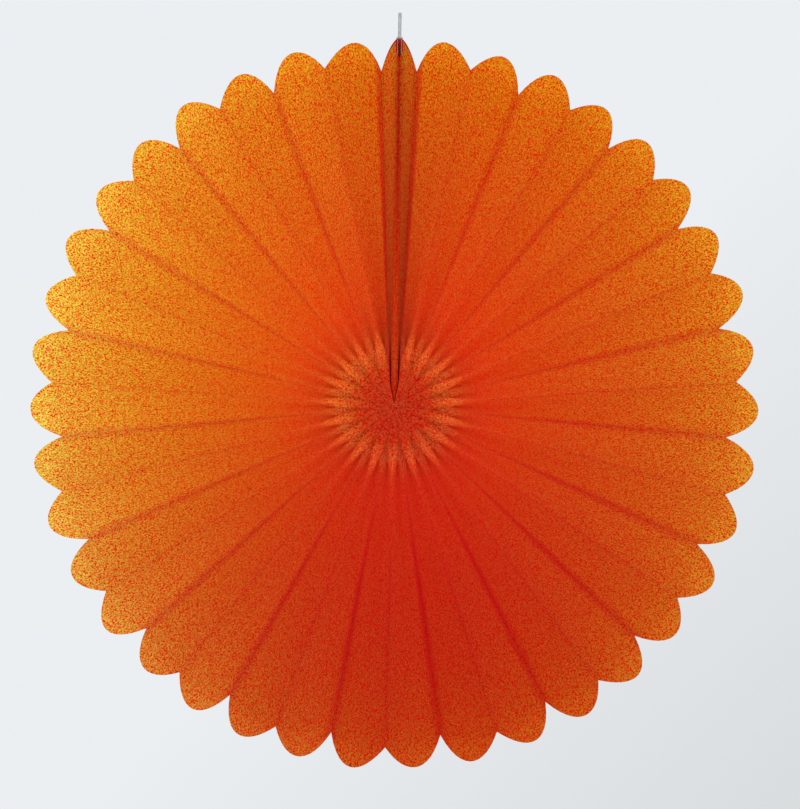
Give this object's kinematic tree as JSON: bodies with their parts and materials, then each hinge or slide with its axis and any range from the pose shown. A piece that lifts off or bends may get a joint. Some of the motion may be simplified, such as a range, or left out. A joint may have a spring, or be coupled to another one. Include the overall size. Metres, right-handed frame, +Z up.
{
  "type": "hanging tissue paper fan rosette",
  "caption": "Round pleated tissue paper fan with scalloped petals, closed at a taped seam between two end cards and hung from a short thread.",
  "frame": {"origin": "top end of the hanging thread, where the fan is tied up; the rosette's centre is straight below it", "axes": "+Z up along the thread and the seam; the rosette lies in the XZ plane, its front faces -Y and +Y is its back"},
  "size_m": [0.3046, 0.0336, 0.3148],
  "materials": {
    "tissue": "matt translucent tissue, orange at the rim and red at the centre",
    "card": "uncoated board",
    "tape": "white double-sided foam tape",
    "thread": "grey twisted thread"
  },
  "bodies": {
    "root": {"pleated_tissue_sheet": "tissue", "end_card_right": "card", "end_card_left": "card", "double_sided_tape": "tape", "hanging_thread": "thread"}
  },
  "joints": []
}
